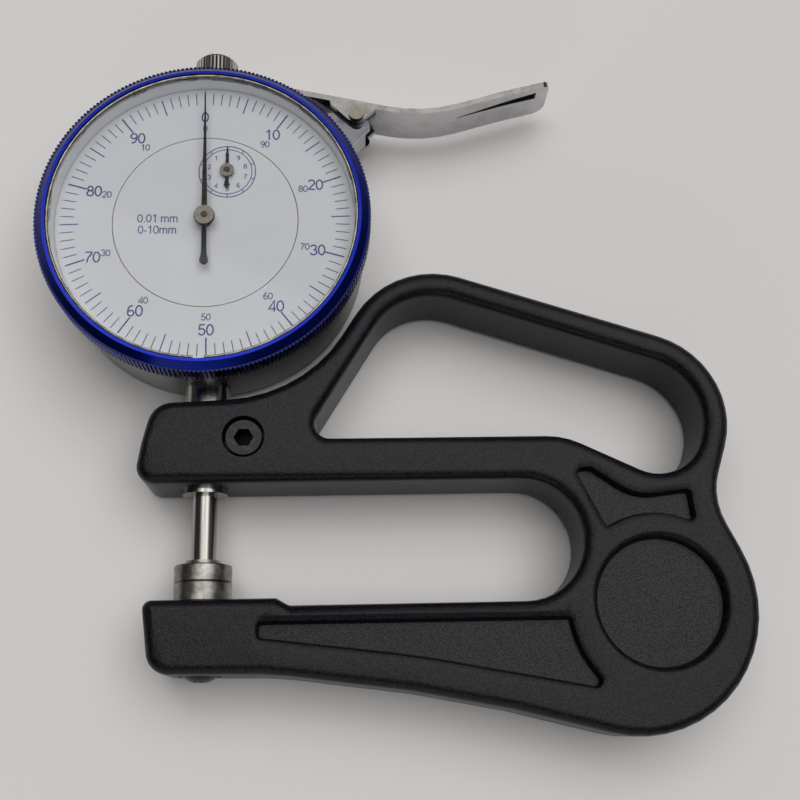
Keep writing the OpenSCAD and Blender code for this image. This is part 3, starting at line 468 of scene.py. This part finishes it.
nickel = Finish("nickel", metallic=1.0)
film = nickel.noise(nickel.place, 0.5, 3)
nearest = nickel.from_axis(DIAL).work("MINIMUM", nickel.from_axis(COUNTER))
arbor = 1 - nearest.step(*ARBOR_END)
metal = nickel.blend(film, (0.06, 0.054, 0.044), (0.16, 0.145, 0.122))
nickel.set("Base Color", nickel.blend(arbor * 0.9, metal, (0.035, 0.03, 0.028)))
nickel.set("Roughness", 0.2 + film * 0.14)
nickel.wear("pointer_hub", "counter_hub")

# %% [markdown]
# ## Chrome lever and bracket
# The lever and its bracket are pressed from sheet and chromed. Perfect chrome would be easy, but chrome on
# pressed sheet is never flat: it keeps a slow ripple, and it shows finger marks. The ripple is a low wide
# bump, and the marks are a noise that dulls the gloss. What faces up gets a painted shade, greyer than the
# rolled sides, and the bracket's faces below the ears get a darker painted shade. The pressed groove near the
# lever's tip gets a painted shade inside: a narrow wedge, measured along the lever from its start.

# %% Lever and bracket
GROOVE_START = (46.984, 66.121, 8.7)
GROOVE_WAY = (0.962, 0.273)
GROOVE_ENDS = (0.3, 16.7)
GROOVE_TIP, GROOVE_SPREAD, GROOVE_RISE, GROOVE_SINK = 0.08, 0.062, 0.055, 0.9
BELOW_EARS = (0.25, 0.65)
chrome = Finish("chrome", metallic=1.0)
ripple = chrome.noise(chrome.place, 7, 2)
marks = chrome.noise(chrome.place, 3.2, 5, 0.65)
fine = chrome.noise(chrome.place * (0.25, 1, 1), 0.25, 3, 0.7)
dx, dy, dz = (chrome.place.part(k) / MM - v for k, v in zip("XYZ", GROOVE_START))
along = dx * GROOVE_WAY[0] + dy * GROOVE_WAY[1]
sunk = dy * GROOVE_WAY[0] - dx * GROOVE_WAY[1]
# painted shade inside the pressed groove: a narrow wedge measured along the lever
outside = (abs(dz - along * GROOVE_RISE) - (GROOVE_TIP + along * GROOVE_SPREAD)).step(-0.12, 0.05)
groove_shade = (1 - outside) * (along > GROOVE_ENDS[0]) * (along < GROOVE_ENDS[1]) * (sunk < GROOVE_SINK)
rolled = chrome.blend(marks.step(0.4, 0.72), (0.57, 0.57, 0.575), (0.46, 0.46, 0.465))
# painted shade for faces that look up, greyer than the rolled sides, still varied by finger marks
up_face_shade_colour = chrome.blend(marks.step(0.35, 0.7), (0.225, 0.22, 0.21), (0.14, 0.137, 0.131))
# darker painted shade for the bracket's faces below the ears
below_ears_shade_colour = chrome.blend(marks.step(0.35, 0.7), (0.13, 0.13, 0.14), (0.05, 0.05, 0.058))
# where the darker painted shade below the ears begins, by depth under the lever's top
below_ears_shade_mask = (top("lift_lever") - chrome.height()).step(*BELOW_EARS)
# chrome on the sides, painted shade on what faces up
chrome_and_shade = chrome.blend(chrome.facing_up(0.4, 0.9), rolled, chrome.blend(below_ears_shade_mask, up_face_shade_colour, below_ears_shade_colour))
# the groove's painted shade, near black, laid over the chrome
chrome.set("Base Color", chrome.blend(groove_shade * 0.96, chrome_and_shade, (0.006, 0.006, 0.008)))
chrome.set("Roughness", 0.07 + marks.step(0.42, 0.7) * 0.12 + fine * 0.04 + groove_shade * 0.4)
chrome.bump(ripple * 5 + marks * 0.12 + fine * 0.06, 0.05, 0.8)
chrome.wear("lift_lever", "lever_bracket")

# %% [markdown]
# ## The rivet
# The lever turns on a rivet of bare steel, which is warmer and duller than chrome. It could share the
# screws' steel, but beside the chrome its colour is what tells it apart, so it has its own.

# %% The lever's rivet
rivet = Finish("rivet_steel", metallic=1.0)
film = rivet.noise(rivet.place, 0.6, 4, 0.6)
rivet.film(film, (0.1, 0.09, 0.07), (0.26, 0.235, 0.19), 0.24, 0.16)
rivet.bump(film, 0.01, 0.5)
rivet.wear("lever_pin")

# %% [markdown]
# ## The movement
# Nobody sees the movement in the photo, but it is there when the part is opened. Plates and wheels are
# brass with a fine grain and a little tarnish. Springs, posts and pins are plain steel. The arbors' ends that
# reach through the dial are dark with oil; they could be cut off as pieces of their own, but their height
# above the enamel is enough to find them.

# %% Brass and spring steel
ABOVE_ENAMEL = (0.6, 0.8)
brass = Finish("brass", metallic=1.0)
tarnish = brass.noise(brass.place, 5, 4, 0.6)
grain = brass.noise(brass.place * (1, 0.08, 1), 0.2, 3)
yellow = brass.blend(tarnish * 0.7 + grain * 0.3, (0.44, 0.28, 0.085), (0.72, 0.52, 0.2))
ends = (brass.height() - top("dial_disc")).step(*ABOVE_ENAMEL)
brass.set("Base Color", brass.blend(ends, yellow, (0.035, 0.025, 0.02)))
brass.set("Roughness", 0.24 + tarnish * 0.14 + grain * 0.08)
brass.bump(grain, 0.006, 0.5)
brass.wear("base_plate", "pillars", "top_plate", "pinion_cock", "guide_block", "rack_pinion", "drive_gear",
           "centre_pinion", "counter_gear")

spring = Finish("spring_steel", metallic=1.0)
spring.film(spring.noise(spring.place, 0.7, 4, 0.6), (0.3, 0.3, 0.31), (0.52, 0.52, 0.53), 0.22, 0.16)
spring.wear("hairspring", "return_spring", "spring_post", "hairspring_stud", "guide_pin")

# %% [markdown]
# ## Printing the dial
# The print could be a mask in the enamel, but thin strokes need sharp edges at any zoom. So each stroke is
# a closed film of ink, 0.015 mm thick, which starts a hair below the enamel. The scale is on the outer ring,
# which turns with the bezel; the counter's scale is on the disc, which stays. The ink is indigo, a little
# thinner in places. On the real dial both zeros stand slightly off the axis, and so they do here.

# %% Ink and the places it goes to
INK_LOW, INK_HIGH = top("dial_disc") - 0.003, top("dial_disc") + 0.012
DISC_ZERO, RING_ZERO = 1.0, 1.7
ink = Finish("dial_ink")
ink.film(ink.noise(ink.place, 0.35, 3), (0.012, 0.013, 0.13), (0.024, 0.027, 0.23), 0.42, 0.15)


def around(turn, radius, centre=DIAL):
    """Place at a clockwise turn in degrees from the zero of the ring or of the counter, in millimetres."""
    zero = RING_ZERO if centre is DIAL else DISC_ZERO
    a = math.radians(90 + zero - turn)
    return centre + radius * Vector((math.cos(a), math.sin(a)))


def spot(press, place, height):
    """A point of the print, from a place and a height in millimetres."""
    return press.verts.new((place[0] * MM, place[1] * MM, height * MM))


print("ink lies between", round(INK_LOW, 3), "and", round(INK_HIGH, 3), "mm")


# %% Strokes and circles of ink
def stroke(press, turn, inner, outer, width, centre=DIAL):
    """One closed film along a radius."""
    along = (around(turn, 1, centre) - centre).normalized()
    across = Vector((-along.y, along.x)) * width / 2
    outline = [centre + along * inner + across, centre + along * outer + across,
               centre + along * outer - across, centre + along * inner - across]
    low, high = ([spot(press, p, z) for p in outline] for z in (INK_LOW, INK_HIGH))
    press.faces.new(high)
    press.faces.new(low[::-1])
    for i in range(len(outline)):
        j = (i + 1) % len(outline)
        press.faces.new((low[i], low[j], high[j], high[i]))


def circle(press, centre, radius, width, parts=120):
    """One closed film round a centre."""
    inner, outer = radius - width / 2, radius + width / 2
    turns = [2 * math.pi * k / parts for k in range(parts)]
    rings = [[spot(press, centre + r * Vector((math.cos(a), math.sin(a))), z) for a in turns]
             for r, z in ((inner, INK_LOW), (outer, INK_LOW), (outer, INK_HIGH), (inner, INK_HIGH))]
    for a, b in zip(rings, rings[1:] + rings[:1]):
        for i in range(parts):
            j = (i + 1) % parts
            press.faces.new((a[i], a[j], b[j], b[i]))


def printed(name, press, body):
    """Turn the print into a piece of the gauge that rides on a body."""
    bmesh.ops.recalc_face_normals(press, faces=press.faces)
    sheet = bpy.data.meshes.new(name)
    press.to_mesh(sheet)
    press.free()
    sheet.materials.append(ink.material)
    piece = bpy.data.objects.new(name, sheet)
    bpy.context.scene.collection.objects.link(piece)
    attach(piece, body)
    print(name, len(sheet.polygons), "faces, rides on", body)


print("the press prints strokes and circles")

# %% [markdown]
# ## Letters from pen strokes
# The numerals could be text objects in a font, but a dial's numerals are drawn with one even pen, and a font
# brings more points than such small print can show. So each letter is a few pen paths in a box one unit high,
# with its round stretches as arcs, and a ribbon of ink follows each path. Where two ribbons of a letter
# cross, the later one lies a micrometre higher, so that no two faces share a plane.


# %% The letters' paths
def bow(x, y, rx, ry, start, end, parts=14):
    """Points of an oval arc from one angle to another, in parts of a letter's height."""
    turns = [math.radians(start + (end - start) * k / parts) for k in range(parts + 1)]
    return [(x + rx * math.cos(a), y + ry * math.sin(a)) for a in turns]


TYPE = {
    "0": (0.56, [bow(0.28, 0.5, 0.22, 0.44, 90, 450, 28)]),
    "1": (0.56, [[(0.1, 0.76), (0.26, 0.84), (0.33, 1.0)], [(0.33, 1.0), (0.33, 0.0)]]),
    "2": (0.56, [bow(0.28, 0.71, 0.21, 0.23, 170, -35) + [(0.06, 0.06)], [(0.06, 0.06), (0.52, 0.06)]]),
    "3": (0.56, [bow(0.27, 0.73, 0.19, 0.21, 165, -90), bow(0.27, 0.29, 0.22, 0.23, 90, -165)]),
    "4": (0.56, [[(0.42, 0.0), (0.42, 0.97), (0.05, 0.26), (0.54, 0.26)]]),
    "5": (0.56, [[(0.48, 0.94), (0.14, 0.94), (0.09, 0.5)], bow(0.27, 0.33, 0.22, 0.27, 140, -160)]),
    "6": (0.56, [bow(0.28, 0.3, 0.21, 0.24, 90, 450, 24), bow(0.33, 0.42, 0.26, 0.52, 70, 192)]),
    "7": (0.56, [[(0.06, 0.94), (0.5, 0.94)] + bow(0.75, 0.0, 0.55, 0.86, 122, 180, 8)]),
    "8": (0.56, [bow(0.28, 0.74, 0.18, 0.2, 90, 450, 22), bow(0.28, 0.3, 0.22, 0.24, 90, 450, 24)]),
    "9": (0.56, [bow(0.28, 0.7, 0.21, 0.24, 90, 450, 24), bow(0.23, 0.58, 0.26, 0.52, 12, -110)]),
    ".": (0.28, [[(0.14, 0.0), (0.14, 0.13)]]),
    "-": (0.34, [[(0.04, 0.36), (0.3, 0.36)]]),
    "m": (0.84, [[(0.1, 0.0), (0.1, 0.72)], bow(0.26, 0.47, 0.16, 0.2, 180, 0, 10) + [(0.42, 0.0)],
                 bow(0.58, 0.47, 0.16, 0.2, 180, 0, 10) + [(0.74, 0.0)]]),
    " ": (0.26, []),
}
print("letters:", " ".join(TYPE))

# %% Ribbons of ink along the paths
LETTER_WIDTH = 1.18
PEN = 0.13
SHARPEST_MITRE = 0.45
RIBBON_LIFT = 0.001
SAME_SPOT = 1e-6


def edges_of(spots, closed, width):
    """The two edges of a ribbon at each point of a path, mitred where it bends."""
    for i, here in enumerate(spots):
        before = spots[i - 1] if closed or i else here
        after = spots[(i + 1) % len(spots)] if closed or i + 1 < len(spots) else here
        into, out = here - before, after - here
        into, out = (into if into.length else out), (out if out.length else into)
        into, out = into.normalized(), out.normalized()
        across = Vector((-into.y - out.y, into.x + out.x)).normalized()
        reach = width / 2 / max(SHARPEST_MITRE, across.dot(Vector((-into.y, into.x))))
        yield here - across * reach, here + across * reach


def ribbon(press, path, width, lift):
    """A closed film of constant width along a path of points, raised by the lift."""
    spots = [Vector(p) for p in path]
    closed = (spots[0] - spots[-1]).length < SAME_SPOT
    if closed:
        spots.pop()
    corners = [[spot(press, p, z) for z in (INK_LOW, INK_HIGH + lift) for p in pair]
               for pair in edges_of(spots, closed, width)]
    pairs = list(zip(corners, corners[1:] + corners[:1]))
    for a, b in pairs if closed else pairs[:-1]:
        for i, j in ((2, 3), (1, 0), (0, 2), (3, 1)):
            press.faces.new((a[i], a[j], b[j], b[i]))
    if not closed:
        press.faces.new([corners[0][k] for k in (0, 1, 3, 2)])
        press.faces.new([corners[-1][k] for k in (0, 2, 3, 1)])


def letters(press, words, height, centre, weight=PEN):
    """Upright letters of the given height and stroke weight, with their middle at the centre."""
    wide = LETTER_WIDTH * height
    pen = centre[0] - sum(TYPE[c][0] for c in words) * wide / 2
    for c in words:
        advance, paths = TYPE[c]
        for k, path in enumerate(paths):
            ribbon(press, [(pen + x * wide, centre[1] + (y - 0.5) * height) for x, y in path],
                   weight * height, RIBBON_LIFT * k)
        pen += advance * wide


print("the press prints letters")

# %% [markdown]
# ## The turning scale
# A hundred strokes, longer at each fifth and bolder at each tenth. The large numerals run clockwise, the way
# the pointer turns, and the small ones beside them run the other way, for readings below zero. All could be
# one piece; strokes and numerals are kept apart so that either can be changed alone.

# %% Strokes and numerals of the outer ring
DIVISIONS = 100
STROKE_END = 26.0
TENTH, FIFTH, PLAIN = (22.5, 0.28), (22.7, 0.22), (23.6, 0.17)
LARGE_HIGH, LARGE_RADIUS = 2.15, 21.05
SMALL_HIGH, SMALL_RADIUS, SMALL_PEN = 1.3, 18.65, 0.14

press = bmesh.new()
for k in range(DIVISIONS):
    start, width = TENTH if k % 10 == 0 else FIFTH if k % 5 == 0 else PLAIN
    stroke(press, 360 / DIVISIONS * k, start, STROKE_END, width)
printed("ring_strokes", press, "bezel_group")

press = bmesh.new()
for k in range(0, DIVISIONS, 10):
    turn = 360 / DIVISIONS * k
    letters(press, str(k), LARGE_HIGH, around(turn, LARGE_RADIUS))
    letters(press, str((DIVISIONS - k) % DIVISIONS), SMALL_HIGH, around(turn, SMALL_RADIUS), SMALL_PEN)
printed("ring_numerals", press, "bezel_group")

# %% [markdown]
# ## The counter's scale
# The small pointer counts whole millimetres, against the main pointer's direction, so its numerals run
# counter-clockwise. Beside it stand the two lines that any such dial carries: one division and the range.
# Both are printed like the ring, but they ride on the body, because the disc doesn't turn.

# %% Circles, strokes and words of the disc
COUNTS = 10
OUTER_CIRCLE, OUTER_LINE = 5.15, 0.18
INNER_CIRCLE, INNER_LINE = 4.5, 0.16
COUNT_LINE = 0.17
COUNT_HIGH, COUNT_RADIUS, COUNT_PEN = 0.98, 3.45, 0.15
WORDS_HIGH = 1.6
WORDS = {"0.01 mm": (-8.6, 40.45), "0-10mm": (-8.6, 38.2)}

press = bmesh.new()
circle(press, COUNTER, OUTER_CIRCLE, OUTER_LINE)
circle(press, COUNTER, INNER_CIRCLE, INNER_LINE)
for k in range(COUNTS):
    turn = -360 / COUNTS * k
    stroke(press, turn, INNER_CIRCLE, OUTER_CIRCLE, COUNT_LINE, COUNTER)
    letters(press, str(k), COUNT_HIGH, around(turn, COUNT_RADIUS, COUNTER), COUNT_PEN)
printed("counter_scale", press, "body")

press = bmesh.new()
for words, centre in WORDS.items():
    letters(press, words, WORDS_HIGH, centre)
printed("disc_words", press, "body")

# %% [markdown]
# ## The table
# The gauge lies on a pale warm-grey table. A bright backdrop could be a glowing plane, but then it would keep
# no shadow. So the table is a plain painted sheet, large enough to fill the view and every reflection.

# %% The table
TABLE_REACH = 3
TABLE_PLACE = (0.03, 0, -0.00005)
table = Finish("table")
fine = table.noise(table.place, 0.6, 3)
cloud = table.noise(table.place, 90, 2)
table.set("Base Color", table.blend(cloud * 0.7 + fine * 0.3, (0.79, 0.77, 0.755), (0.84, 0.82, 0.805)))
table.set("Roughness", 0.6 + fine * 0.1)
table.bump(fine, 0.01, 0.3)
press = bmesh.new()
bmesh.ops.create_grid(press, x_segments=8, y_segments=8, size=TABLE_REACH)
sheet = bpy.data.meshes.new("table")
press.to_mesh(sheet)
press.free()
sheet.materials.append(table.material)
floor = bpy.data.objects.new("table", sheet)
floor.location = TABLE_PLACE
bpy.context.scene.collection.objects.link(floor)
print("table laid")

# %% [markdown]
# ## The room's light
# The light is a room's: a bright ceiling overhead and dim walls. The flat black faces and the crystal mirror
# the ceiling softly, and round metal finds something dark to mirror in the walls. A large lamp could stand
# for the ceiling, but a lamp is near, and its edge would show in the metal. So the ceiling is part of the
# world: a colour that steps up where the view turns to it, a little stronger on one side.

# %% The sky
CEILING = {"Z": 0.965, "Y": 0.2, "X": 0.14}
CEILING_EDGE = (0.72, 0.92)
STRONGER_SIDE = (-0.6, 0.6)
LEAST, MORE = 0.57, 0.72
WALLS, BRIGHT = (0.085, 0.085, 0.088), (1.8, 1.79, 1.78)
world = bpy.data.worlds.new("room")
bpy.context.scene.world = world
world.use_nodes = True
room = Patch(world.node_tree)
way = room.node("TexCoord", out="Generated")
upward = way.part("Z") * CEILING["Z"] + way.part("Y") * CEILING["Y"] + way.part("X") * CEILING["X"]
tone = room.blend(upward.step(*CEILING_EDGE), WALLS, BRIGHT)
sky = next(n for n in world.node_tree.nodes if n.type == "BACKGROUND")
room.feed(sky.inputs["Color"], tone)
room.feed(sky.inputs["Strength"], LEAST + way.part("X").step(*STRONGER_SIDE) * MORE)
print("the ceiling lights the room")

# %% [markdown]
# ## Three weak lamps
# What a ceiling can't do, small lamps add: a glow from behind, a patch of light from a window, and a touch
# from the front that reaches the walls under the bezel. More power would be simpler than more lamps, but it
# would wash out the black paint. They stand clear of the places that the crystal and the lever mirror.


# %% The lamps
def lamp(name, place, target, size, power, colour=(1, 1, 1), spin=0.0):
    data = bpy.data.lights.new(name, "AREA")
    data.shape = "RECTANGLE"
    data.size, data.size_y = size
    data.energy = power
    data.color = colour
    made = bpy.data.objects.new(name, data)
    made.location = place
    made.rotation_euler = (Vector(target) - Vector(place)).to_track_quat("-Z", "Y").to_euler()
    made.rotation_euler.rotate_axis("Z", math.radians(spin))
    bpy.context.scene.collection.objects.link(made)
    print("lamp", name, power, "W")


GAUGE = (0.03, 0.0, 0.0)
lamp("behind", (-0.3, 1.0, 0.8), GAUGE, (1.0, 0.6), 0.5, colour=(1, 0.985, 0.965))
lamp("window", (-0.135, 0.205, 0.5), (-0.135, 0.205, 0.0), (0.26, 0.14), 0.22, spin=-26.7)
lamp("front", (-0.1, -0.6, 0.2), GAUGE, (0.5, 0.15), 0.35)

# %% [markdown]
# ## The camera
# The camera stands where the photo's camera stood. It could be placed by eye, but then no edge would line up.
# So its place, its three directions and its lens were fitted to circles and edges whose sizes are known.

# %% The camera
EYE = Vector((25.961, -48.899, 200.885)) * MM
RIGHT = Vector((0.99897469, -0.02269211, 0.03917448))
UP = Vector((0.01054195, 0.95812035, 0.28617173))
AHEAD = Vector((0.0440277, 0.28546534, -0.9573772))
data = bpy.data.cameras.new("camera")
data.lens = 49.74
data.sensor_width = 36
data.clip_start = 0.01
camera = bpy.data.objects.new("camera", data)
camera.matrix_world = Matrix.Translation(EYE) @ Matrix((RIGHT, UP, -AHEAD)).transposed().to_4x4()
bpy.context.scene.collection.objects.link(camera)
bpy.context.scene.camera = camera
bpy.context.scene.view_settings.view_transform = "Standard"
print("camera at", [round(v, 4) for v in EYE])
